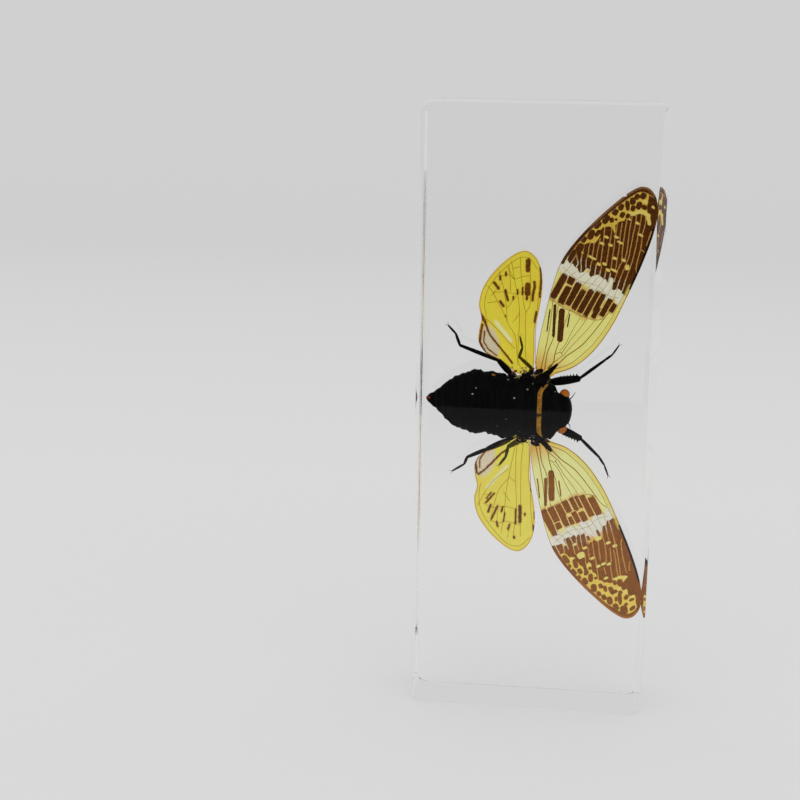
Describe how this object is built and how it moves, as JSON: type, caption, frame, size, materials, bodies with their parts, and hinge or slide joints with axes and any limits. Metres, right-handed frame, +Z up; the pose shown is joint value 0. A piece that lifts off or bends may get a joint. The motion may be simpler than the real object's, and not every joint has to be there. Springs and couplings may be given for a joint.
{
  "type": "insect in resin block",
  "caption": "Upright clear resin block with rounded edges and a spread-winged cicada cast in the middle of it.",
  "frame": {"origin": "centre of the bottom face, on the surface that the block stands on", "axes": "+Z up along the block's long side, +X across its width towards the insect's head, +Y from the front face, which the insect's back faces, to the back face"},
  "size_m": [0.058, 0.02, 0.15],
  "materials": {
    "clear_resin": "polished clear casting resin",
    "black_shell": "satin black insect shell with a golden brown collar",
    "amber_eye": "glossy amber compound eye",
    "brown_wing": "translucent brown wing with golden veins and a whitish band",
    "yellow_wing": "translucent yellow wing with brown spots",
    "black_leg": "satin black"
  },
  "bodies": {
    "root": {"resin_front": "clear_resin", "resin_back": "clear_resin", "head": "black_shell", "eye_left": "amber_eye", "eye_right": "amber_eye", "pronotum": "black_shell", "thorax": "black_shell", "abdomen": "black_shell", "forewing_left": "brown_wing", "forewing_right": "brown_wing", "hindwing_left": "yellow_wing", "hindwing_right": "yellow_wing", "leg_front_left": "black_leg", "leg_front_right": "black_leg", "leg_mid_left": "black_leg", "leg_mid_right": "black_leg", "leg_hind_left": "black_leg", "leg_hind_right": "black_leg"}
  },
  "joints": []
}
